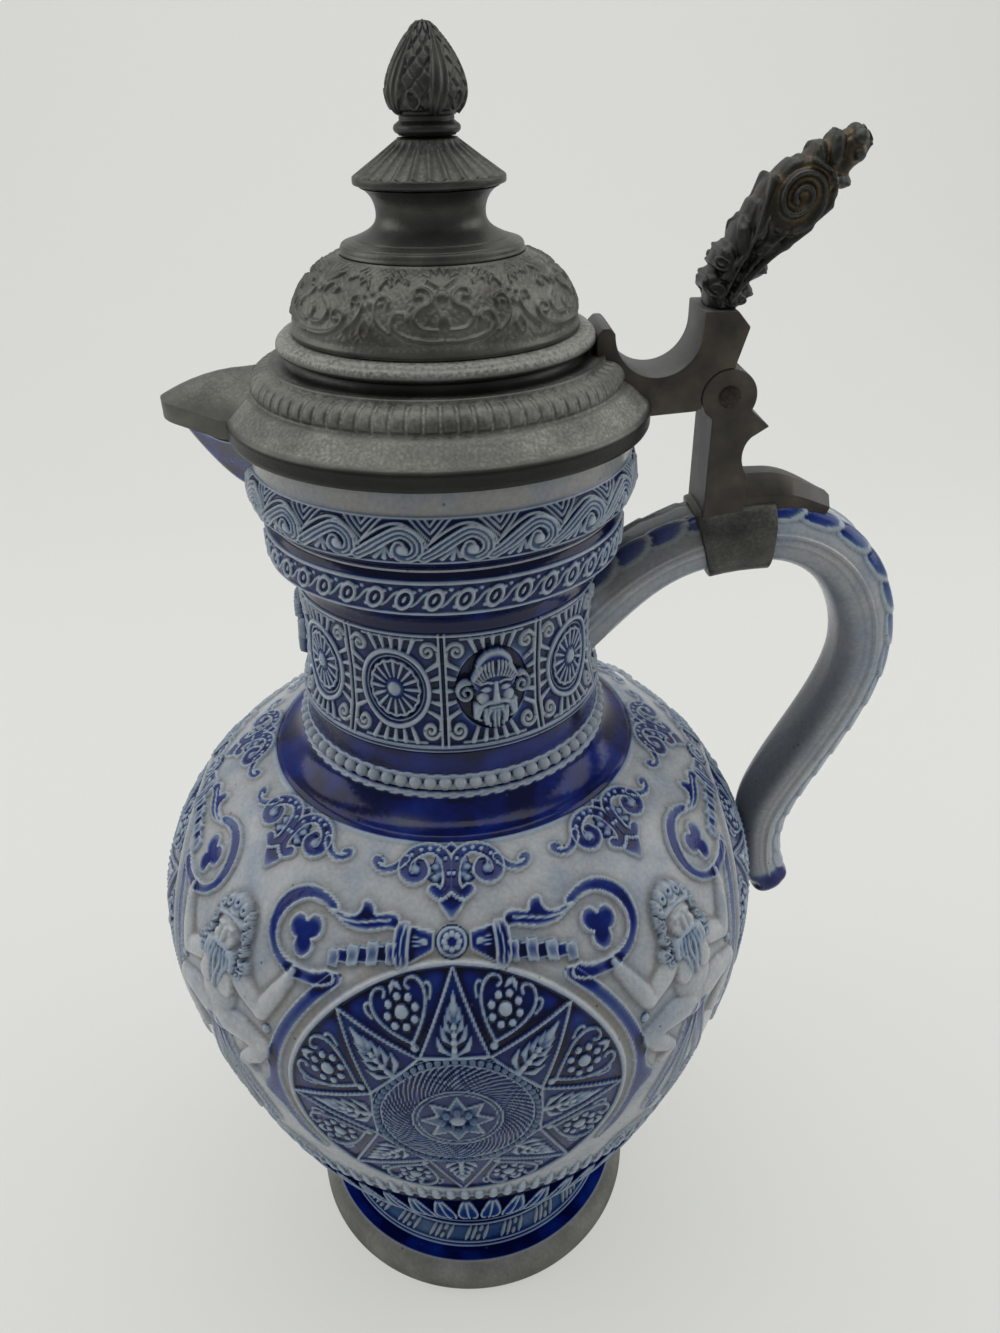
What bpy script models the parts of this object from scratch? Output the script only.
"""Lidded stoneware jug: a salt-glazed ewer with a hinged pewter lid.

The jug stands on z = 0 with its axis on Z.  The handle points along +X, the
pouring lip along -X.  Sizes are written in millimetres and multiplied by MM.
"""

import math

import bmesh
import bpy

MM = 0.001

# Clearances
SEAT_GAP = 0.3 * MM
RUNNING_GAP = 0.3 * MM
MERGE_DISTANCE = 0.001 * MM

# Facets
CLAY_STEPS = 28
LID_STEPS = 24
FINIAL_STEPS = 16
PIN_STEPS = 20

# Rounding of turned edges
CLAY_EDGE = 1.0 * MM
PEWTER_EDGE = 0.6 * MM

# Stoneware foot, from the table upwards
FOOT_RADIUS = 62.0 * MM
FOOT_BAND_HEIGHT = 12.6 * MM
FOOT_EDGE_RADIUS = 56.8 * MM
FOOT_FILLET_RADIUS = 52.2 * MM
FOOT_FILLET_RISE = 3.2 * MM
FOOT_BARS_RADIUS = 48.8 * MM
FOOT_BARS_RISE = 7.0 * MM
FOOT_WAIST_RADIUS = 46.8 * MM
FOOT_COVE_RISE = 5.7 * MM

# Belly and shoulder
BELLY_RADIUS = 95.5 * MM
BELLY_RISE = 131.5 * MM
BELLY_FULLNESS = 42.0 * MM
BELLY_FLARE = 20.0 * MM
SHOULDER_RADIUS = 55.0 * MM
SHOULDER_RISE = 54.6 * MM
SHOULDER_FULLNESS = 26.0 * MM
SHOULDER_FLARE = 21.0 * MM

# Neck bands, from the shoulder upwards
BEAD_RING_RADIUS = 46.3 * MM
BEAD_SIZE = 4.0 * MM
BEAD_RISE = 11.4 * MM
PANEL_RADIUS = 41.1 * MM
PANEL_EDGE = 2.6 * MM
PANEL_RISE = 11.0 * MM
PANEL_HEIGHT = 33.5 * MM
CHAIN_RADIUS = 48.7 * MM
CHAIN_RISE = 10.3 * MM
CHAIN_HEIGHT = 7.7 * MM
GROOVE_DEPTH = 1.8 * MM
FRIEZE_RADIUS = 51.6 * MM
FRIEZE_RISE = 5.0 * MM
FRIEZE_HEIGHT = 12.0 * MM
RIM_RADIUS = 50.1 * MM
RIM_HEIGHT = 7.5 * MM

# Cast relief of the belly: medallions, with half figures between them
RELIEF_TURN = -2.4
RELIEF_ROOT = 2.0 * MM
MEDALLION_STEPS = 20
MEDALLION_RADIUS = 47.5 * MM
MEDALLION_DROP = 7.0 * MM
MEDALLION_EDGE = 1.2 * MM
MEDALLION_RIM = 1.5 * MM
MEDALLION_FIELD = 0.5 * MM
MEDALLION_BOSS_RADIUS = 20.8 * MM
FIGURE_HEIGHT = 50.0 * MM
FIGURE_RELIEF = 2.0 * MM

# Thickness of the clay
CLAY_WALL = 6.0 * MM
CLAY_FLOOR = 10.0 * MM

# Pouring lip
LIP_REACH = 16.7 * MM
LIP_HALF_WIDTH = 21.4 * MM
LIP_NOSE_RADIUS = 6.5 * MM
LIP_DEPTH = 15.7 * MM
LIP_FOOT_HALF_WIDTH = 7.0 * MM
LIP_WALL = 4.2 * MM
LIP_FOOT_REACH = 0.6 * MM
SPOUT_SLOPE = 0.2

# Lid ring, from its underside upwards
LID_OVERHANG = 4.7 * MM
LID_EDGE_HEIGHT = 4.6 * MM
LID_SLOPE_WIDTH = 7.4 * MM
LID_SLOPE_RISE = 5.2 * MM
GADROON_WIDTH = 4.6 * MM
GADROON_RISE = 6.2 * MM
LID_STEP_WIDTH = 2.6 * MM
LID_STEP_RISE = 2.2 * MM
TORUS_SIZE = 5.0 * MM
TORUS_RISE = 2.6 * MM
DOME_SETBACK = 4.4 * MM
PEWTER_WALL = 2.2 * MM

# Dome and finial
DOME_SPREAD = 12.7 * MM
DOME_RISE = 17.2 * MM
PEDESTAL_RIM_HEIGHT = 2.2 * MM
PEDESTAL_WAIST_RADIUS = 13.1 * MM
PEDESTAL_HEIGHT = 14.2 * MM
TENON_RADIUS = 4.0 * MM
TENON_HEAD_RADIUS = 5.6 * MM
TENON_HEAD_HEIGHT = 1.4 * MM
COLLAR_RADIUS = 18.1 * MM
COLLAR_EDGE_HEIGHT = 1.9 * MM
COLLAR_HEIGHT = 10.0 * MM
COLLAR_TOP_RADIUS = 6.7 * MM
FLUTE_COUNT = 28
FLUTE_DEPTH = 0.7 * MM
BUD_RING_RADIUS = 7.8 * MM
BUD_NECK_RADIUS = 6.2 * MM
BUD_NECK_RISE = 3.7 * MM
BUD_RADIUS = 9.2 * MM
BUD_HEIGHT = 18.8 * MM

# Spout cover on the lid
COVER_REACH = 16.4 * MM
COVER_HALF_WIDTH = 16.6 * MM
COVER_NOSE_RADIUS = 7.5 * MM
COVER_EDGE_HEIGHT = 4.9 * MM
COVER_RISE = 14.6 * MM

# Hinge
PIN_REACH = 19.7 * MM
PIN_RISE = 5.2 * MM
PIN_RADIUS = 1.6 * MM
PIN_HEAD_RADIUS = 2.8 * MM
PIN_HEAD_THICKNESS = 0.6 * MM
HINGE_WIDTH = 18.0 * MM
HINGE_FACETS = 32
KNUCKLE_RADIUS = 7.2 * MM
KNUCKLE_WIDTH = 7.0 * MM
POST_DEPTH = 8.0 * MM
TOOTH_REACH = 11.4 * MM
TOOTH_DROP = 8.1 * MM

# Lid arm and thumblift
ARM_BOW_RADIUS = 11.0 * MM
ARM_WEB = 1.1 * MM
ARM_FINGER_THICKNESS = 4.6 * MM
ARM_FINGER_LAP = 0.6 * MM
ARM_TOP_RISE = 4.7 * MM
ARM_HEEL_REACH = 3.5 * MM
ARM_HEEL_DROP = 4.0 * MM
THUMB_HALF_DEPTH = 5.6 * MM
THUMB_HALF_WIDTH = 6.6 * MM
THUMB_RISE = 37.0 * MM
THUMB_REACH = 31.6 * MM
VOLUTE_RADIUS = 6.2 * MM
VOLUTE_RELIEF = 1.1 * MM

# Handle, strap and tang
HANDLE_HALF_WIDTH = 10.5 * MM
HANDLE_HALF_DEPTH = 8.2 * MM
HANDLE_RIDGE = 1.4 * MM
HANDLE_ROOT_SINK = 2.0 * MM
HANDLE_DROP = 40.6 * MM
HANDLE_CREST_OFFSET = 15.5 * MM
HANDLE_BULGE = 28.9 * MM
HANDLE_BULGE_RISE = 78.0 * MM
HANDLE_LANDING_RISE = 12.0 * MM
HANDLE_TAIL_REACH = 15.0 * MM
HANDLE_TAIL_DROP = 20.5 * MM
HANDLE_END_RADIUS = 6.0 * MM
STRAP_WIDTH = 17.0 * MM
STRAP_THICKNESS = 1.4 * MM
STRAP_LEAD = 0.5 * MM
TANG_LENGTH = 28.5 * MM
TANG_HALF_WIDTH = 8.4 * MM
TANG_HEIGHT = 9.0 * MM
TANG_TIP_HEIGHT = 4.0 * MM

# Levels worked out from the stack of bands
FOOT_FILLET_Z = FOOT_BAND_HEIGHT + FOOT_FILLET_RISE
FOOT_BARS_Z = FOOT_FILLET_Z + FOOT_BARS_RISE
FOOT_WAIST_Z = FOOT_BARS_Z + FOOT_COVE_RISE
BELLY_Z = FOOT_WAIST_Z + BELLY_RISE
SHOULDER_Z = BELLY_Z + SHOULDER_RISE
BEAD_Z = SHOULDER_Z + BEAD_RISE
PANEL_Z = BEAD_Z + PANEL_RISE
PANEL_TOP_Z = PANEL_Z + PANEL_HEIGHT
CHAIN_Z = PANEL_TOP_Z + CHAIN_RISE
CHAIN_TOP_Z = CHAIN_Z + CHAIN_HEIGHT
FRIEZE_Z = CHAIN_TOP_Z + FRIEZE_RISE
FRIEZE_TOP_Z = FRIEZE_Z + FRIEZE_HEIGHT
RIM_Z = FRIEZE_TOP_Z + RIM_HEIGHT

LID_RADIUS = RIM_RADIUS + LID_OVERHANG
GADROON_RADIUS = LID_RADIUS - LID_SLOPE_WIDTH
LID_STEP_RADIUS = GADROON_RADIUS - GADROON_WIDTH
TORUS_RADIUS = LID_STEP_RADIUS - LID_STEP_WIDTH
DOME_RADIUS = TORUS_RADIUS - DOME_SETBACK
CROWN_RADIUS = DOME_RADIUS - DOME_SPREAD
LID_Z = RIM_Z + SEAT_GAP
LID_SLOPE_Z = LID_Z + LID_EDGE_HEIGHT
GADROON_Z = LID_SLOPE_Z + LID_SLOPE_RISE
LID_STEP_Z = GADROON_Z + GADROON_RISE
TORUS_Z = LID_STEP_Z + LID_STEP_RISE + TORUS_RISE
LID_SEAT_Z = TORUS_Z + TORUS_SIZE / 2
DOME_Z = LID_SEAT_Z + SEAT_GAP
CROWN_Z = DOME_Z + DOME_RISE
PEDESTAL_Z = CROWN_Z + SEAT_GAP
COLLAR_Z = PEDESTAL_Z + PEDESTAL_HEIGHT + SEAT_GAP
BUD_Z = COLLAR_Z + COLLAR_HEIGHT + SEAT_GAP

PIN_X = LID_RADIUS + PIN_REACH
PIN_Z = LID_Z + PIN_RISE
BOW_X = TORUS_RADIUS - ARM_FINGER_LAP + ARM_FINGER_THICKNESS + ARM_BOW_RADIUS
BOW_Z = GADROON_Z + ARM_WEB + ARM_BOW_RADIUS
ARM_TOP_Z = BOW_Z + ARM_TOP_RISE
HALF_HINGE = HINGE_WIDTH / 2
SLOT_HALF = KNUCKLE_WIDTH / 2 + RUNNING_GAP
SPOUT_BREAK = LID_RADIUS + 2 * SEAT_GAP


def clear_scene():
    for item in list(bpy.data.objects):
        bpy.data.objects.remove(item, do_unlink=True)


def material(name, colour, roughness, metallic):
    made = bpy.data.materials.new(name)
    made.use_nodes = True
    shader = made.node_tree.nodes["Principled BSDF"]
    shader.inputs["Base Color"].default_value = (*colour, 1.0)
    shader.inputs["Roughness"].default_value = roughness
    shader.inputs["Metallic"].default_value = metallic
    return made


def part(name, mesh_builder, finish, parent=None):
    """Turn a bmesh into a named object with one material."""
    bmesh.ops.remove_doubles(mesh_builder, verts=mesh_builder.verts, dist=MERGE_DISTANCE)
    bmesh.ops.recalc_face_normals(mesh_builder, faces=mesh_builder.faces)
    mesh = bpy.data.meshes.new(name)
    mesh_builder.to_mesh(mesh)
    mesh_builder.free()
    mesh.shade_smooth()
    mesh.set_sharp_from_angle(angle=math.radians(35))
    made = bpy.data.objects.new(name, mesh)
    if finish:
        made.data.materials.append(finish)
    bpy.context.collection.objects.link(made)
    if parent:
        made.parent = parent
        made.matrix_parent_inverse = parent.matrix_world.inverted()
    return made


def cutter(name, mesh_builder):
    """A tool body for Boolean cuts, kept out of the model."""
    made = part(name, mesh_builder, None)
    made.hide_render = True
    made.display_type = "WIRE"
    return made


def boolean(target, tool, operation="DIFFERENCE", overlapping=False):
    step = target.modifiers.new(tool.name, "BOOLEAN")
    step.solver = "EXACT"
    step.operation = operation
    step.use_self = overlapping
    step.object = tool


def arc(centre, radius, start, end, steps):
    """Points on a circular arc, angles in degrees."""
    points = []
    for index in range(steps + 1):
        angle = math.radians(start + (end - start) * index / steps)
        points.append((centre[0] + radius * math.cos(angle), centre[1] + radius * math.sin(angle)))
    return points


def bezier(start, start_pull, end_pull, end, steps):
    """Points on a cubic curve between two ends."""
    points = []
    for index in range(steps + 1):
        t = index / steps
        weights = ((1 - t) ** 3, 3 * t * (1 - t) ** 2, 3 * t * t * (1 - t), t ** 3)
        corners = (start, start_pull, end_pull, end)
        points.append(tuple(sum(w * c[axis] for w, c in zip(weights, corners)) for axis in (0, 1)))
    return points


def blend(table, u):
    """Smoothly read a value from (position, value) pairs."""
    for (u0, v0), (u1, v1) in zip(table, table[1:]):
        if u <= u1:
            t = (u - u0) / (u1 - u0)
            t = max(0.0, t) ** 2 * (3 - 2 * max(0.0, t))
            return v0 + (v1 - v0) * t
    return table[-1][1]


def grown(line, gap):
    """Offset an outline that runs downwards on its outer side, away from the solid."""
    points = []
    for index, (r, z) in enumerate(line):
        normals = []
        for before, after in ((index - 1, index), (index, index + 1)):
            if before >= 0 and after < len(line):
                run = math.dist(line[before], line[after])
                across = (line[before][1] - line[after][1]) / run
                up = (line[after][0] - line[before][0]) / run
                normals.append((across, up))
        across = sum(n[0] for n in normals) / len(normals)
        up = sum(n[1] for n in normals) / len(normals)
        reach = gap / max(0.4, across * across + up * up)
        points.append((r + across * reach, z + up * reach))
    return points


def lathe(profile, steps, closed=False):
    """Spin an (r, z) profile about Z."""
    made = bmesh.new()
    points = [made.verts.new((r, 0, z)) for r, z in profile]
    pairs = list(zip(points, points[1:]))
    if closed:
        pairs.append((points[-1], points[0]))
    lines = [made.edges.new(pair) for pair in pairs]
    bmesh.ops.spin(made, geom=points + lines, cent=(0, 0, 0), axis=(0, 0, 1),
                   angle=math.tau, steps=steps, use_merge=True)
    return made


def ladder_cap(made, row):
    """Close a mirrored loop with strips across it, so that it may rise along its length."""
    last = len(row) - 1
    for index in range(last // 2):
        corners = [row[index], row[index + 1], row[last - index - 1], row[last - index]]
        made.faces.new(list(dict.fromkeys(corners)))


def loft(loops, closed=False, ladder=False, made=None):
    """Skin loops of equally many points; open ends get caps, in strips or in one flat face."""
    made = made or bmesh.new()
    rows = [[made.verts.new(point) for point in loop] for loop in loops]
    pairs = list(zip(rows, rows[1:]))
    if closed:
        pairs.append((rows[-1], rows[0]))
    for low, high in pairs:
        for index in range(len(low)):
            after = (index + 1) % len(low)
            made.faces.new((low[index], low[after], high[after], high[index]))
    for row in () if closed else (rows[0], rows[-1]):
        if ladder:
            ladder_cap(made, row)
        else:
            made.faces.new(row)
    return made


def prism(outline, y_low, y_high):
    """Extrude an (x, z) outline along Y."""
    return loft([[(x, y, z) for x, z in outline] for y in (y_low, y_high)])


def rod(radius, y_low, y_high, steps=PIN_STEPS):
    """A round bar along Y on the hinge axis."""
    return prism(arc((PIN_X, PIN_Z), radius, 0, 360 - 360 / steps, steps - 1), y_low, y_high)


def clay_outline():
    """Outer (r, z) line of the body from the foot to the rim's outer edge."""
    bead = BEAD_SIZE / 2
    groove_z = (CHAIN_TOP_Z + FRIEZE_Z) / 2
    edge = CLAY_EDGE
    waist = (FOOT_WAIST_RADIUS, FOOT_WAIST_Z)
    belly = (BELLY_RADIUS, BELLY_Z)
    shoulder = (SHOULDER_RADIUS, SHOULDER_Z)
    line = [
        (FOOT_RADIUS - edge, 0),
        (FOOT_RADIUS, edge),
        (FOOT_RADIUS, 0.55 * FOOT_BAND_HEIGHT),
        (0.7 * FOOT_RADIUS + 0.3 * FOOT_EDGE_RADIUS, 0.82 * FOOT_BAND_HEIGHT),
        (FOOT_EDGE_RADIUS, FOOT_BAND_HEIGHT),
        (0.65 * FOOT_FILLET_RADIUS + 0.35 * FOOT_EDGE_RADIUS, FOOT_BAND_HEIGHT + edge),
        (FOOT_FILLET_RADIUS, FOOT_FILLET_Z - edge / 2),
        (FOOT_FILLET_RADIUS, FOOT_FILLET_Z + edge / 2),
        (FOOT_BARS_RADIUS, FOOT_BARS_Z),
    ]
    line += bezier(waist, (waist[0] + BELLY_FLARE, waist[1] + 0.9 * BELLY_FLARE),
                   (belly[0], belly[1] - BELLY_FULLNESS), belly, 9)
    line += bezier(belly, (belly[0], belly[1] + SHOULDER_FULLNESS),
                   (shoulder[0] + SHOULDER_FLARE, shoulder[1] - 0.36 * SHOULDER_FLARE), shoulder, 9)[1:]
    line += bezier((shoulder[0] - edge, shoulder[1] + edge), (shoulder[0] - 5 * edge, shoulder[1] + edge),
                   (BEAD_RING_RADIUS - bead / 2, BEAD_Z - 2.6 * bead),
                   (BEAD_RING_RADIUS - bead / 2, BEAD_Z - bead), 3)
    line += arc((BEAD_RING_RADIUS - bead, BEAD_Z), bead, -45, 45, 2)
    line += [
        (BEAD_RING_RADIUS - 1.3 * bead, BEAD_Z + bead),
        (PANEL_RADIUS + PANEL_EDGE, PANEL_Z - 2 * edge),
        (PANEL_RADIUS + PANEL_EDGE, PANEL_Z),
        (PANEL_RADIUS + edge / 2, PANEL_Z + 0.25 * PANEL_HEIGHT),
        (PANEL_RADIUS, PANEL_Z + 0.6 * PANEL_HEIGHT),
        (PANEL_RADIUS + edge / 2, PANEL_TOP_Z),
    ]
    line += bezier((PANEL_RADIUS + edge, PANEL_TOP_Z + edge), (PANEL_RADIUS + edge, CHAIN_Z - 5 * edge),
                   (CHAIN_RADIUS - 4 * edge, CHAIN_Z - edge), (CHAIN_RADIUS - edge, CHAIN_Z - edge), 3)
    line += [
        (CHAIN_RADIUS, CHAIN_Z),
        (CHAIN_RADIUS, CHAIN_TOP_Z),
        (CHAIN_RADIUS - GROOVE_DEPTH, groove_z),
        (FRIEZE_RADIUS - 1.9 * edge, FRIEZE_Z),
        (FRIEZE_RADIUS, FRIEZE_Z + 0.45 * FRIEZE_HEIGHT),
        (FRIEZE_RADIUS - edge / 2, FRIEZE_TOP_Z - edge),
        (RIM_RADIUS, FRIEZE_TOP_Z),
        (RIM_RADIUS, RIM_Z - 0.6 * edge),
        (RIM_RADIUS - 0.6 * edge, RIM_Z),
    ]
    return line


def clay_hollow():
    """Inner (r, z) line of the body from the mouth down to the floor."""
    mouth = RIM_RADIUS - CLAY_WALL
    neck = PANEL_RADIUS - CLAY_WALL
    belly = (BELLY_RADIUS - CLAY_WALL, BELLY_Z)
    shoulder = (SHOULDER_RADIUS - CLAY_WALL, SHOULDER_Z - 0.6 * CLAY_WALL)
    waist = (FOOT_WAIST_RADIUS - 1.4 * CLAY_WALL, FOOT_WAIST_Z + 0.4 * CLAY_WALL)
    line = [
        (mouth - 0.6 * CLAY_EDGE, RIM_Z),
        (mouth - 1.2 * CLAY_EDGE, RIM_Z - 0.6 * CLAY_EDGE),
        (mouth - 1.2 * CLAY_EDGE, FRIEZE_Z),
        (neck, PANEL_TOP_Z),
        (neck, PANEL_Z + 0.2 * PANEL_HEIGHT),
        (BEAD_RING_RADIUS - 1.5 * CLAY_WALL, BEAD_Z),
    ]
    line += bezier(shoulder, (shoulder[0] + SHOULDER_FLARE, shoulder[1] - 0.3 * SHOULDER_FLARE),
                   (belly[0], belly[1] + 0.92 * SHOULDER_FULLNESS), belly, 4)
    line += bezier(belly, (belly[0], belly[1] - BELLY_FULLNESS),
                   (waist[0] + 1.1 * BELLY_FLARE, waist[1] + 0.9 * BELLY_FLARE), waist, 5)[1:]
    line += [
        (waist[0], CLAY_FLOOR + 0.8 * CLAY_WALL),
        (waist[0] - 0.7 * CLAY_WALL, CLAY_FLOOR),
        (0, CLAY_FLOOR),
    ]
    return line


class BellyLine:
    """Outer line of the clay, read by the length along it from the belly's widest point."""

    def __init__(self, line):
        self.line = line
        self.lengths = [0.0]
        for before, after in zip(line, line[1:]):
            self.lengths.append(self.lengths[-1] + math.dist(before, after))
        self.widest = self.lengths[line.index((BELLY_RADIUS, BELLY_Z))]

    def slope(self, index):
        low, high = self.line[index - 1], self.line[index + 1]
        run = math.dist(low, high)
        return (high[1] - low[1]) / run, (low[0] - high[0]) / run

    def at(self, turn, across, up, lift):
        """Point beside and above a place on the belly, lifted out of the clay."""
        length = self.widest + up
        index = 1
        while self.lengths[index + 1] < length:
            index += 1
        t = (length - self.lengths[index]) / (self.lengths[index + 1] - self.lengths[index])
        spot = [b + (a - b) * t for b, a in zip(self.line[index], self.line[index + 1])]
        facing = [b + (a - b) * t for b, a in zip(self.slope(index), self.slope(index + 1))]
        radius = spot[0] + facing[0] * lift
        angle = turn + across / BELLY_RADIUS
        return (radius * math.sin(angle), -radius * math.cos(angle), spot[1] + facing[1] * lift)


def medallion(belly, turn):
    """Round plate bedded in the belly, with a raised rim and a raised boss."""
    radius, boss, edge = MEDALLION_RADIUS, MEDALLION_BOSS_RADIUS, MEDALLION_EDGE
    half = (radius + boss) / 2
    rings = [(0.4 * boss, -RELIEF_ROOT), (boss, -RELIEF_ROOT), (half, -RELIEF_ROOT)]
    rings += [(radius + edge, -RELIEF_ROOT), (radius, MEDALLION_RIM), (radius - 1.5 * edge, MEDALLION_FIELD)]
    rings += [(half, MEDALLION_FIELD), (boss + edge, MEDALLION_FIELD), (boss, MEDALLION_RIM)]
    rings += [(0.4 * boss, MEDALLION_RIM)]
    loops = []
    for reach, lift in rings:
        angles = [math.tau * index / MEDALLION_STEPS for index in range(MEDALLION_STEPS)]
        loops.append([belly.at(turn, reach * math.cos(a), reach * math.sin(a) - MEDALLION_DROP, lift)
                      for a in angles])
    return loft(loops)


def half_figure(belly, turn):
    """Half figure in plain masses: head, trunk, raised arms and drawn-up legs."""
    unit = FIGURE_HEIGHT / 50
    limbs = [
        (1.0, ((0, 25, 10.5), (0, 14, 8.6), (0, 3, 7.4))),
        (1.45, ((0, 23, 5.6), (0, 33, 8.2), (0, 43.5, 6.2))),
    ]
    for side in (-1, 1):
        limbs.append((0.95, ((5 * side, 23, 4.8), (18 * side, 16.5, 4.2), (26 * side, 31, 2.6))))
        limbs.append((1.05, ((2 * side, 6, 5.8), (19 * side, 5, 4.8), (11 * side, -8, 3.0))))
    made = bmesh.new()
    for share, stations in limbs:
        loops = []
        for index, (across, up, width) in enumerate(stations):
            before = stations[max(index - 1, 0)]
            after = stations[min(index + 1, len(stations) - 1)]
            run = math.dist(before[:2], after[:2])
            side = ((before[1] - after[1]) / run * width, (after[0] - before[0]) / run * width)
            lift = FIGURE_RELIEF * share
            section = ((-1.1, -RELIEF_ROOT), (-0.75, lift), (0.75, lift), (1.1, -RELIEF_ROOT))
            loops.append([belly.at(turn, (across + side[0] * s) * unit, (up + side[1] * s) * unit, height)
                          for s, height in section])
        loft(loops, made=made)
    return made


def tongue(root, half_width, tip, nose, bend, steps=6):
    """Plan outline of a tapering tongue that points along -X, with a round nose.

    The straight sides carry one extra point at the bend, a distance from the axis.
    """
    centre = tip - nose
    run = math.hypot(root - centre, half_width)
    tangent = math.atan2(half_width, root - centre) - math.acos(min(1.0, nose / run))
    touch = (centre + nose * math.cos(tangent), nose * math.sin(tangent))
    share = min(0.9, max(0.1, (bend - root) / (touch[0] - root)))
    middle = (root + (touch[0] - root) * share, half_width + (touch[1] - half_width) * share)
    half = [(root, half_width), middle]
    half += arc((centre, 0), nose, math.degrees(tangent), 0, steps)
    outline = half + [(d, -w) for d, w in reversed(half[:-1])]
    return [(-d, w) for d, w in outline]


def spout_level(distance):
    """Rise of the pouring edge above the rim at a distance from the axis."""
    return SPOUT_SLOPE * max(0.0, distance - SPOUT_BREAK)


def lip_body(inset, root, top, bottom, levels=4):
    """Scoop-shaped wedge of the pouring lip, shrunk by a wall thickness."""
    foot_tip = FRIEZE_RADIUS + LIP_FOOT_REACH - inset
    tip = RIM_RADIUS + LIP_REACH - inset
    loops = []
    for level in range(levels):
        share = level / (levels - 1)
        swell = share ** 0.8
        reach = foot_tip + (tip - foot_tip) * swell
        half_width = LIP_FOOT_HALF_WIDTH + (LIP_HALF_WIDTH - LIP_FOOT_HALF_WIDTH) * swell - 0.8 * inset
        nose = min(LIP_NOSE_RADIUS - 0.5 * inset, 0.7 * half_width)
        height = bottom + (top - bottom) * share
        loops.append([(x, y, height + share * spout_level(-x))
                      for x, y in tongue(root, half_width, reach, nose, SPOUT_BREAK)])
    return loft(loops, ladder=True)


def make_stoneware(finish):
    outside = clay_outline()
    body = part("stoneware_body", lathe([(0, 0)] + outside + clay_hollow(), CLAY_STEPS), finish)
    belly = BellyLine(outside)
    for quarter in range(4):
        turn = math.radians(RELIEF_TURN + 90 * quarter)
        if quarter != 1:
            boolean(body, cutter(f"medallion_{quarter + 1}", medallion(belly, turn)), "UNION")
        figure = cutter(f"half_figure_{quarter + 1}", half_figure(belly, turn + math.pi / 4))
        boolean(body, figure, "UNION", overlapping=True)
    root = RIM_RADIUS - CLAY_WALL
    lip_foot = RIM_Z - LIP_DEPTH
    lip = part("pouring_lip", lip_body(0, root, RIM_Z, lip_foot), finish)
    clear_z = RIM_Z + LIP_WALL
    skin = [(0, clear_z), (RIM_RADIUS, clear_z)] + grown(outside[::-1], SEAT_GAP) + [(0, -LIP_WALL)]
    envelope = cutter("clay_envelope", lathe(skin, CLAY_STEPS))
    channel_body = lip_body(LIP_WALL, root - 1.4 * CLAY_WALL, clear_z, lip_foot + LIP_WALL)
    channel = cutter("lip_channel", channel_body)
    boolean(lip, envelope)
    boolean(lip, channel)
    boolean(body, channel)
    return envelope


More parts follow.
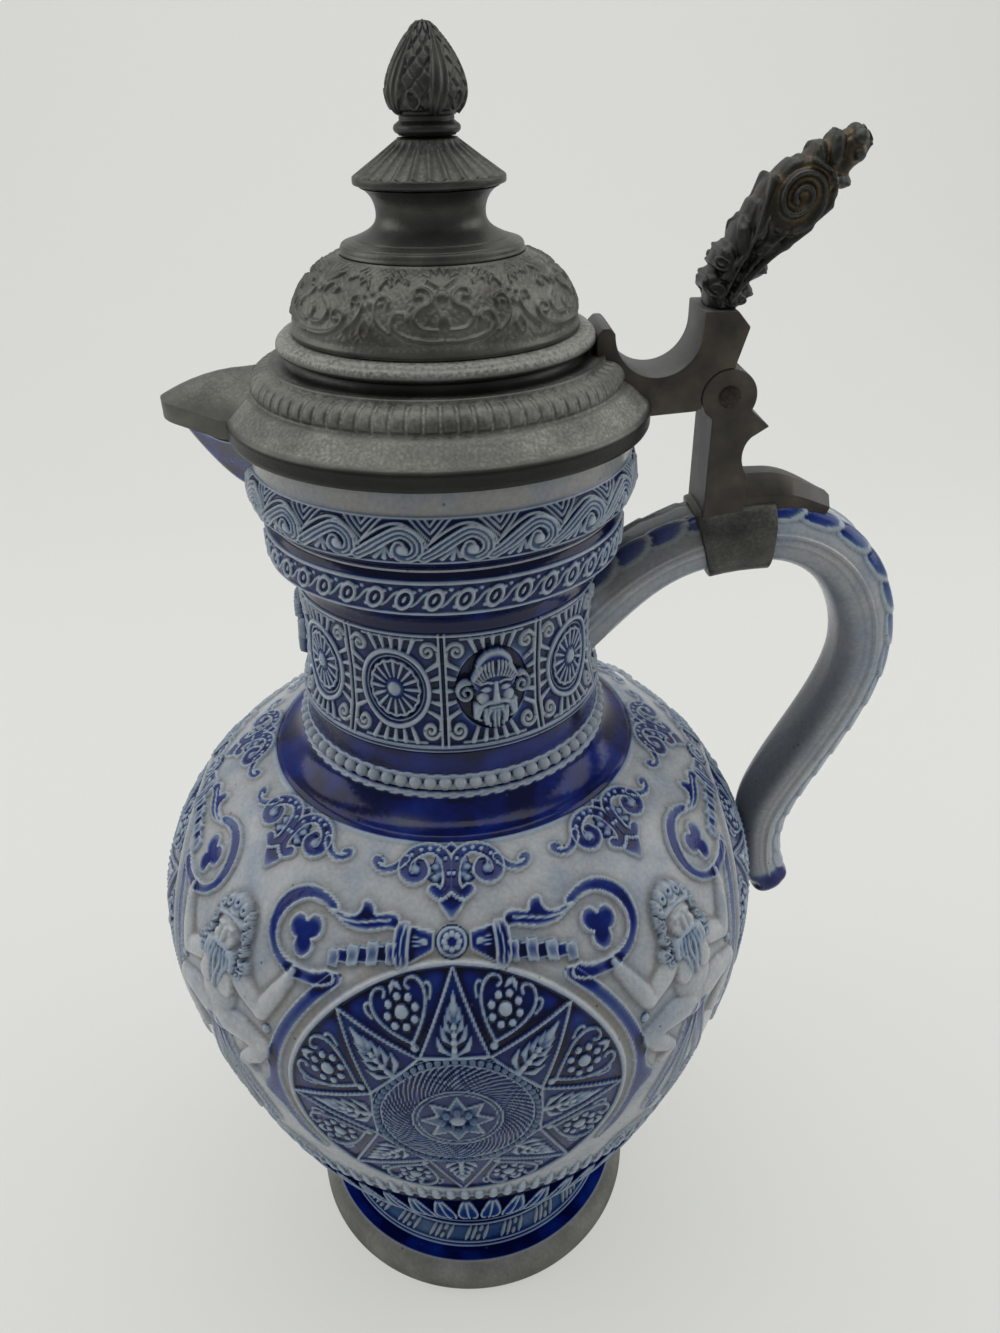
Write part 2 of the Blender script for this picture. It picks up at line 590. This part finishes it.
class HandlePath:
    """Centre line of the handle in the XZ plane, read by its length."""

    def __init__(self):
        root = (PANEL_RADIUS - HANDLE_ROOT_SINK, PANEL_Z + 0.5 * PANEL_HEIGHT)
        crest = (PIN_X + HANDLE_CREST_OFFSET, PIN_Z - HANDLE_DROP)
        bulge = (BELLY_RADIUS + HANDLE_BULGE, BELLY_Z + HANDLE_BULGE_RISE)
        landing = (BELLY_RADIUS + 0.75 * HANDLE_HALF_DEPTH, BELLY_Z + HANDLE_LANDING_RISE)
        tail = (BELLY_RADIUS + HANDLE_TAIL_REACH, BELLY_Z - HANDLE_TAIL_DROP)
        stretches = (
            (root, (0.26, 0.58), (0.53, 1.0), crest),
            (crest, (0.58, 0.0), (1.0, 0.45), bulge),
            (bulge, (0.0, 0.33), (0.96, 0.73), landing),
            (landing, (-0.03, 0.37), (0.27, 0.68), tail),
        )
        self.points = [root]
        for start, first_pull, second_pull, end in stretches:
            pulls = [tuple(s + (e - s) * p for s, e, p in zip(start, end, pull))
                     for pull in (first_pull, second_pull)]
            self.points += bezier(start, *pulls, end, 40)[1:]
        self.lengths = [0.0]
        for before, after in zip(self.points, self.points[1:]):
            self.lengths.append(self.lengths[-1] + math.dist(before, after))
        self.total = self.lengths[-1]

    def at(self, length):
        """Point, and the direction that faces away from the hand, at a length."""
        index = 0
        while index < len(self.lengths) - 2 and self.lengths[index + 1] < length:
            index += 1
        before, after = self.points[index], self.points[index + 1]
        step = self.lengths[index + 1] - self.lengths[index]
        t = (length - self.lengths[index]) / step
        point = tuple(b + (a - b) * t for b, a in zip(before, after))
        low = self.points[max(index - 1, 0)]
        high = self.points[min(index + 2, len(self.points) - 1)]
        run = math.dist(low, high)
        return point, (-(high[1] - low[1]) / run, (high[0] - low[0]) / run)

    def length_at_x(self, x):
        """Length along the rising part of the handle where it reaches x."""
        for index, (before, after) in enumerate(zip(self.points, self.points[1:])):
            if before[0] <= x <= after[0]:
                share = (x - before[0]) / (after[0] - before[0])
                return self.lengths[index] + math.dist(before, after) * share
        return self.total

    def section(self, length, grow, sides=18):
        """Closed loop round the handle: a rounded bar with a ridge along its back."""
        u = length / self.total
        depth_shares = ((0, 1.12), (0.16, 1.0), (0.4, 1.0), (0.55, 0.9), (0.8, 0.9), (0.9, 0.74), (1, 0.8))
        width_shares = ((0, 1.2), (0.16, 1.0), (0.72, 0.96), (0.86, 0.86), (1, 0.7))
        deep = HANDLE_HALF_DEPTH * blend(depth_shares, u) + grow
        wide = HANDLE_HALF_WIDTH * blend(width_shares, u) + grow
        end = min(1.0, (self.total - length) / HANDLE_END_RADIUS)
        round_end = math.sqrt(max(0.04, 1 - (1 - end) ** 2))
        point, back = self.at(length)
        loop = []
        for index in range(sides):
            angle = math.tau * (index + 0.5) / sides
            across = math.copysign(abs(math.cos(angle)) ** 0.78, math.cos(angle)) * wide * round_end
            out = math.copysign(abs(math.sin(angle)) ** 0.78, math.sin(angle)) * deep * round_end
            if math.sin(angle) > 0.8:
                out += HANDLE_RIDGE * round_end
            loop.append((point[0] + back[0] * out, across, point[1] + back[1] * out))
        return loop

    def bar(self, start, end, count, grow=0.0):
        """Solid length of the handle, grown outwards by a clearance."""
        step = (end - start) / (count - 1)
        return loft([self.section(start + step * index, grow) for index in range(count)])

    def band(self, start, end, count, inner, outer):
        """Hollow band round the handle between two clearances."""
        step = (end - start) / (count - 1)
        stations = [start + step * index for index in range(count)]
        loops = [self.section(length, outer) for length in stations]
        loops += [self.section(length, inner) for length in reversed(stations)]
        return loft(loops, closed=True)


def make_handle(path, clay_envelope, finish):
    handle = part("stoneware_handle", path.bar(0.0, path.total, 27), finish)
    boolean(handle, clay_envelope)
    return handle


def lid_outline():
    """Upper (r, z) line of the lid ring from the dome seat out to its lower edge."""
    bead = TORUS_SIZE / 2
    edge = PEWTER_EDGE
    line = [(DOME_RADIUS + edge, LID_SEAT_Z)]
    line += arc((TORUS_RADIUS - bead, TORUS_Z), bead, 75, -75, 6)
    line += [
        (TORUS_RADIUS - 1.3 * bead, TORUS_Z - 1.2 * bead),
        (LID_STEP_RADIUS - 4 * edge, LID_STEP_Z + 0.7 * LID_STEP_RISE),
        (LID_STEP_RADIUS, LID_STEP_Z + 0.4 * LID_STEP_RISE),
        (LID_STEP_RADIUS, LID_STEP_Z - edge),
    ]
    line += bezier((LID_STEP_RADIUS + 1.5 * edge, LID_STEP_Z - 1.5 * edge),
                   (GADROON_RADIUS - 2.3 * edge, LID_STEP_Z - 1.5 * edge),
                   (GADROON_RADIUS, GADROON_Z + 0.55 * GADROON_RISE),
                   (GADROON_RADIUS, GADROON_Z + 0.16 * GADROON_RISE), 4)
    line += [
        (GADROON_RADIUS + edge, GADROON_Z + 0.3 * edge),
        (GADROON_RADIUS + 2.7 * edge, GADROON_Z - 0.3 * edge),
        (LID_RADIUS - edge, LID_SLOPE_Z + 0.7 * edge),
        (LID_RADIUS, LID_SLOPE_Z - 0.3 * edge),
        (LID_RADIUS, LID_Z + edge / 2),
        (LID_RADIUS - edge / 2, LID_Z),
    ]
    return line


def dome_outline():
    """Outer (r, z) line of the dome from its crown down to its seat."""
    return dome_curve(0, 7)


def dome_curve(inset, steps):
    """Quarter bow of the dome, moved inwards by a wall thickness."""
    crown = (CROWN_RADIUS - inset / 2, CROWN_Z - inset)
    seat = (DOME_RADIUS - inset, DOME_Z)
    return bezier(crown, (crown[0] + 0.55 * DOME_SPREAD, crown[1] - 0.13 * DOME_RISE),
                  (seat[0], seat[1] + 0.48 * DOME_RISE), seat, steps)


def make_lid(axis, pewter):
    under = [
        (RIM_RADIUS - 0.6 * CLAY_WALL, LID_Z),
        (RIM_RADIUS - 0.73 * CLAY_WALL, LID_SLOPE_Z),
        (GADROON_RADIUS - 2.2 * PEWTER_WALL, GADROON_Z),
        (LID_STEP_RADIUS - 2.6 * PEWTER_WALL, LID_STEP_Z - 0.4 * PEWTER_WALL),
        (DOME_RADIUS - 1.4 * PEWTER_WALL, TORUS_Z - TORUS_SIZE / 2),
        (DOME_RADIUS - 1.4 * PEWTER_WALL, LID_SEAT_Z),
    ]
    part("lid_ring", lathe(lid_outline() + under, LID_STEPS, closed=True), pewter, axis)

    bore = TENON_RADIUS + SEAT_GAP
    inside = dome_curve(PEWTER_WALL, 4)[::-1]
    dome_line = [(bore, CROWN_Z)] + dome_outline() + inside + [(bore, CROWN_Z - PEWTER_WALL)]
    part("lid_dome", lathe(dome_line, LID_STEPS, closed=True), pewter, axis)

    under_z = LID_Z - LID_OVERHANG
    skin = [(0, CROWN_Z + SEAT_GAP)] + grown(dome_outline() + lid_outline(), SEAT_GAP)
    skin += [(LID_RADIUS, under_z), (0, under_z)]
    return cutter("lid_envelope", lathe(skin, LID_STEPS))


def make_finial(axis, pewter):
    stub_z = COLLAR_Z + 0.6 * COLLAR_HEIGHT
    part("finial_pedestal", lathe(pedestal_outline(stub_z), FINIAL_STEPS), pewter, axis)
    part("fluted_collar", fluted_collar(), pewter, axis)
    part("finial_bud", lathe(bud_outline(stub_z + SEAT_GAP), FINIAL_STEPS), pewter, axis)


def pedestal_outline(stub_z):
    """Waisted pedestal with a peened tenon below and a stub for the collar above."""
    edge = PEWTER_EDGE
    foot = CROWN_RADIUS - edge
    waist = (PEDESTAL_WAIST_RADIUS, PEDESTAL_Z + 0.6 * PEDESTAL_HEIGHT)
    top_z = PEDESTAL_Z + PEDESTAL_HEIGHT
    rim_z = PEDESTAL_Z + PEDESTAL_RIM_HEIGHT
    lip = (COLLAR_RADIUS - 2.4 * edge, top_z)
    head_z = CROWN_Z - PEWTER_WALL - SEAT_GAP
    line = [
        (0, head_z - TENON_HEAD_HEIGHT),
        (TENON_HEAD_RADIUS - edge, head_z - TENON_HEAD_HEIGHT),
        (TENON_HEAD_RADIUS, head_z - 0.3 * TENON_HEAD_HEIGHT),
        (TENON_HEAD_RADIUS, head_z),
        (TENON_RADIUS, head_z),
        (TENON_RADIUS, PEDESTAL_Z),
        (foot, PEDESTAL_Z),
        (foot, PEDESTAL_Z + 0.4 * PEDESTAL_RIM_HEIGHT),
        (foot - edge, rim_z),
    ]
    line += bezier((foot - 3 * edge, rim_z + edge / 2), (waist[0] + 2.4 * edge, rim_z + 4 * edge),
                   (waist[0], waist[1] - 4 * edge), waist, 5)
    line += bezier(waist, (waist[0], waist[1] + 4 * edge),
                   (lip[0] - 4 * edge, top_z - 1.4 * edge), lip, 4)[1:]
    return line + [(TENON_RADIUS, top_z), (TENON_RADIUS, stub_z), (0, stub_z)]


def bud_outline(socket_z):
    """Ringed neck and pointed bud, with a spigot that stands on the pedestal's stub."""
    bead = BUD_RING_RADIUS - COLLAR_TOP_RADIUS
    neck_z = BUD_Z + BUD_NECK_RISE
    tip_z = neck_z + BUD_HEIGHT
    line = [
        (0, socket_z),
        (TENON_RADIUS, socket_z),
        (TENON_RADIUS, BUD_Z),
        (COLLAR_TOP_RADIUS, BUD_Z),
    ]
    line += arc((COLLAR_TOP_RADIUS, BUD_Z + 1.2 * bead), bead, -70, 70, 4)
    line += [(BUD_NECK_RADIUS, neck_z - bead / 2)]
    line += bezier((BUD_NECK_RADIUS, neck_z), (1.17 * BUD_RADIUS, neck_z + 0.18 * BUD_HEIGHT),
                   (0.94 * BUD_RADIUS, neck_z + 0.58 * BUD_HEIGHT),
                   (0.38 * BUD_RADIUS, tip_z - 2 * bead), 8)
    return line + [(0.22 * BUD_RADIUS, tip_z - bead / 2), (0, tip_z)]


def fluted_collar():
    """Cone with hollow flutes that end in scallops along its rim."""
    bore = TENON_RADIUS + SEAT_GAP
    top_z = COLLAR_Z + COLLAR_HEIGHT
    edge_z = COLLAR_Z + COLLAR_EDGE_HEIGHT
    cone = (
        (bore, COLLAR_Z, 0.0),
        (COLLAR_RADIUS - 2 * PEWTER_EDGE, COLLAR_Z, 0.0),
        (COLLAR_RADIUS, COLLAR_Z + 0.2 * COLLAR_EDGE_HEIGHT, 0.0),
        (COLLAR_RADIUS, edge_z, 1.0),
        (0.7 * COLLAR_RADIUS, COLLAR_Z + 0.56 * COLLAR_HEIGHT, 0.8),
        (COLLAR_TOP_RADIUS, top_z, 0.0),
        (bore, top_z, 0.0),
    )
    count = FLUTE_COUNT * 2
    loops = []
    for radius, height, hollow in cone:
        loop = []
        for index in range(count):
            angle = math.tau * index / count
            drop = FLUTE_DEPTH * hollow * (index % 2)
            loop.append((radius * math.cos(angle), radius * math.sin(angle), height - drop))
        loops.append(loop)
    return loft(loops, closed=True)


def cover_body(inset, bottom_drop):
    """Roofed tongue over the pouring lip, shrunk by a wall thickness."""
    apex_x = GADROON_RADIUS
    apex_z = LID_Z + COVER_RISE - inset
    tip = LID_RADIUS + COVER_REACH - inset
    nose = COVER_NOSE_RADIUS - 0.6 * inset
    outline = tongue(apex_x, COVER_HALF_WIDTH - inset, tip, nose, SPOUT_BREAK, 5)
    loops = [[(x, y, LID_Z + spout_level(-x) - bottom_drop) for x, y in outline]]
    for share in (1.0, 0.86, 0.66, 0.4, 0.12):
        loop = []
        for x, y in outline:
            edge_z = LID_Z + spout_level(-x) + COVER_EDGE_HEIGHT - inset
            height = apex_z - (apex_z - edge_z) * share ** 2
            loop.append(((x + apex_x) * share - apex_x, y * share, height))
        loops.append(loop)
    return loft(loops, ladder=True)


def make_spout_cover(axis, lid_envelope, pewter):
    cover = part("spout_cover", cover_body(0.0, 0.0), pewter, axis)
    hollow = cutter("cover_hollow", cover_body(PEWTER_WALL, COVER_EDGE_HEIGHT))
    boolean(cover, hollow)
    boolean(cover, lid_envelope)
    return cover


def make_lid_arm(axis, lid_envelope, pewter):
    finger_x = BOW_X - ARM_BOW_RADIUS
    finger_back = finger_x - ARM_FINGER_THICKNESS
    finger_z = BOW_Z + 0.3 * ARM_FINGER_THICKNESS
    outline = [
        (finger_back, BOW_Z),
        (finger_back + 0.3 * ARM_FINGER_THICKNESS, finger_z),
        (finger_x - 0.3 * ARM_FINGER_THICKNESS, finger_z),
    ]
    outline += arc((BOW_X, BOW_Z), ARM_BOW_RADIUS, 180, 360, 12)
    outline += [
        (BOW_X + ARM_BOW_RADIUS, ARM_TOP_Z),
        (PIN_X, ARM_TOP_Z),
        (PIN_X + ARM_HEEL_REACH, ARM_TOP_Z - ARM_HEEL_DROP),
        (PIN_X + 0.3 * ARM_HEEL_REACH, PIN_Z + 1.22 * KNUCKLE_RADIUS),
        (PIN_X, PIN_Z),
        (PIN_X - 1.22 * KNUCKLE_RADIUS, PIN_Z - 0.49 * KNUCKLE_RADIUS),
        (LID_RADIUS - LID_EDGE_HEIGHT, LID_Z + 2 * SEAT_GAP),
        (finger_back, LID_STEP_Z),
    ]
    arm = part("lid_arm", prism(outline, -HALF_HINGE, HALF_HINGE), pewter, axis)
    boolean(arm, lid_envelope)
    half_knuckle = KNUCKLE_WIDTH / 2
    for name, side in (("front_knuckle_room", -1), ("back_knuckle_room", 1)):
        ends = sorted((side * half_knuckle, side * (HALF_HINGE + RUNNING_GAP)))
        boolean(arm, cutter(name, rod(KNUCKLE_RADIUS + RUNNING_GAP, *ends, HINGE_FACETS)))
    knuckle = cutter("arm_knuckle", rod(KNUCKLE_RADIUS, -half_knuckle, half_knuckle, HINGE_FACETS))
    boolean(arm, knuckle, "UNION")
    boolean(arm, cutter("arm_pin_bore", rod(PIN_RADIUS + RUNNING_GAP, -HALF_HINGE, HALF_HINGE)))
    return arm


def make_thumblift(axis, pewter):
    base = (BOW_X + ARM_BOW_RADIUS + THUMB_HALF_DEPTH, ARM_TOP_Z + SEAT_GAP)
    tip = (base[0] + THUMB_REACH, base[1] + THUMB_RISE)
    line = bezier(base, (base[0], base[1] + 0.25 * THUMB_RISE),
                  (tip[0] - 0.55 * THUMB_REACH, tip[1] - 0.3 * THUMB_RISE), tip, 16)
    depth_shares = ((0, 0.96), (0.5, 1.3), (0.75, 1.2), (0.93, 0.78), (1, 0.35))
    width_shares = ((0, 1.0), (0.5, 1.0), (0.8, 0.7), (0.94, 0.55), (1, 0.3))
    loops = []
    for index, point in enumerate(line):
        u = index / (len(line) - 1)
        low = line[max(index - 1, 0)]
        high = line[min(index + 1, len(line) - 1)]
        run = math.dist(low, high)
        back = (-(high[1] - low[1]) / run, (high[0] - low[0]) / run) if index else (-1.0, 0.0)
        deep = THUMB_HALF_DEPTH * blend(depth_shares, u)
        wide = THUMB_HALF_WIDTH * blend(width_shares, u)
        loop = []
        for x, y in arc((0, 0), 1.0, 15, 345, 11):
            out = math.copysign(abs(x) ** 0.7, x) * deep
            across = math.copysign(abs(y) ** 0.7, y) * wide
            loop.append((point[0] + back[0] * out, across, point[1] + back[1] * out))
        loops.append(loop)
    lift = part("thumblift", loft(loops), pewter, axis)
    heart = line[round(0.6 * (len(line) - 1))]
    reach = THUMB_HALF_WIDTH + VOLUTE_RELIEF
    volute = prism(arc(heart, VOLUTE_RADIUS, 0, 340, 17), -reach, reach)
    boolean(lift, cutter("thumb_volutes", volute), "UNION")
    return lift


def post_outline(foot_z):
    """Side view of the hinge post: knuckle on top, pointed stop tooth behind, flared foot."""
    left = PIN_X - POST_DEPTH / 2
    right = PIN_X + POST_DEPTH / 2
    flare = 0.4 * POST_DEPTH
    tooth_z = PIN_Z - TOOTH_DROP
    outline = [(left, foot_z), (left, PIN_Z - 0.8 * KNUCKLE_RADIUS)]
    outline += arc((PIN_X, PIN_Z), KNUCKLE_RADIUS, 212, -30, 16)
    outline += [(PIN_X + TOOTH_REACH, tooth_z)]
    outline += bezier((PIN_X + 0.62 * TOOTH_REACH, tooth_z - 0.35 * POST_DEPTH),
                      (right + 0.2 * flare, tooth_z - 0.62 * POST_DEPTH),
                      (right, tooth_z - 1.25 * POST_DEPTH), (right + flare, tooth_z - 1.68 * POST_DEPTH), 5)
    return outline + [(right + flare, foot_z)]


def pin_outline():
    """Half section of the pin with a low head at each end, along its own axis."""
    seat = HALF_HINGE + SEAT_GAP
    head = seat + PIN_HEAD_THICKNESS
    upper = [
        (0, head),
        (0.7 * PIN_HEAD_RADIUS, head),
        (PIN_HEAD_RADIUS, seat + 0.3 * PIN_HEAD_THICKNESS),
        (PIN_HEAD_RADIUS, seat),
        (PIN_RADIUS, seat),
    ]
    return upper + [(r, -z) for r, z in reversed(upper)]


def make_hinge_mount(path, pewter, steel):
    strap_start = path.length_at_x(PIN_X - STRAP_LEAD)
    strap_end = strap_start + STRAP_WIDTH
    band = path.band(strap_start, strap_end, 5, SEAT_GAP, SEAT_GAP + STRAP_THICKNESS)
    part("handle_strap", band, pewter)

    foot_z = path.at(strap_start)[0][1]
    post = part("hinge_post", prism(post_outline(foot_z), -HALF_HINGE, HALF_HINGE), pewter)
    boolean(post, cutter("tang", tang_body(path)), "UNION")
    tang_end = path.length_at_x(PIN_X) + TANG_LENGTH
    handle_room = path.bar(0.0, tang_end + HANDLE_HALF_DEPTH, 20, SEAT_GAP)
    strap_gap = 2 * SEAT_GAP + STRAP_THICKNESS
    strap_room = path.bar(strap_start - SEAT_GAP, strap_end + SEAT_GAP, 6, strap_gap)
    slot = rod(KNUCKLE_RADIUS + RUNNING_GAP, -SLOT_HALF, SLOT_HALF, HINGE_FACETS)
    bore = rod(PIN_RADIUS + RUNNING_GAP, -HALF_HINGE - RUNNING_GAP, HALF_HINGE + RUNNING_GAP)
    boolean(post, cutter("handle_room", handle_room))
    boolean(post, cutter("strap_room", strap_room))
    boolean(post, cutter("knuckle_slot", slot))
    boolean(post, cutter("post_pin_bore", bore))

    pin = part("hinge_pin", lathe(pin_outline(), PIN_STEPS), steel)
    pin.location = (PIN_X, 0, PIN_Z)
    pin.rotation_euler = (math.radians(90), 0, 0)


def tang_body(path, count=7):
    """Hipped wedge that runs from the post along the back of the handle."""
    start = path.length_at_x(PIN_X)
    floor = HANDLE_HALF_DEPTH + HANDLE_RIDGE
    loops = []
    for index in range(count):
        u = index / (count - 1)
        point, back = path.at(start + TANG_LENGTH * u)
        rise = blend(((0, TANG_HEIGHT), (0.5, 0.9 * TANG_HEIGHT), (1, TANG_TIP_HEIGHT)), u)
        wide = TANG_HALF_WIDTH * (1 - 0.25 * u)
        half = [(-wide, 0.5 * floor), (-wide, floor + 0.4 * rise), (-0.3 * wide, floor + rise)]
        corners = half + [(-across, out) for across, out in reversed(half)]
        loops.append([(point[0] + back[0] * out, across, point[1] + back[1] * out)
                      for across, out in corners])
    return loft(loops)


def main():
    clear_scene()
    stoneware = material("salt_glazed_stoneware", (0.42, 0.45, 0.52), 0.3, 0.0)
    pewter = material("dark_pewter", (0.09, 0.09, 0.085), 0.5, 0.9)
    steel = material("blackened_steel_pin", (0.05, 0.045, 0.04), 0.5, 1.0)
    axis = bpy.data.objects.new("lid_hinge_axis", None)
    axis.location = (PIN_X, 0, PIN_Z)
    bpy.context.collection.objects.link(axis)
    bpy.context.view_layer.update()

    path = HandlePath()
    clay_envelope = make_stoneware(stoneware)
    make_handle(path, clay_envelope, stoneware)
    make_hinge_mount(path, pewter, steel)
    lid_envelope = make_lid(axis, pewter)
    make_finial(axis, pewter)
    make_spout_cover(axis, lid_envelope, pewter)
    make_lid_arm(axis, lid_envelope, pewter)
    make_thumblift(axis, pewter)


main()
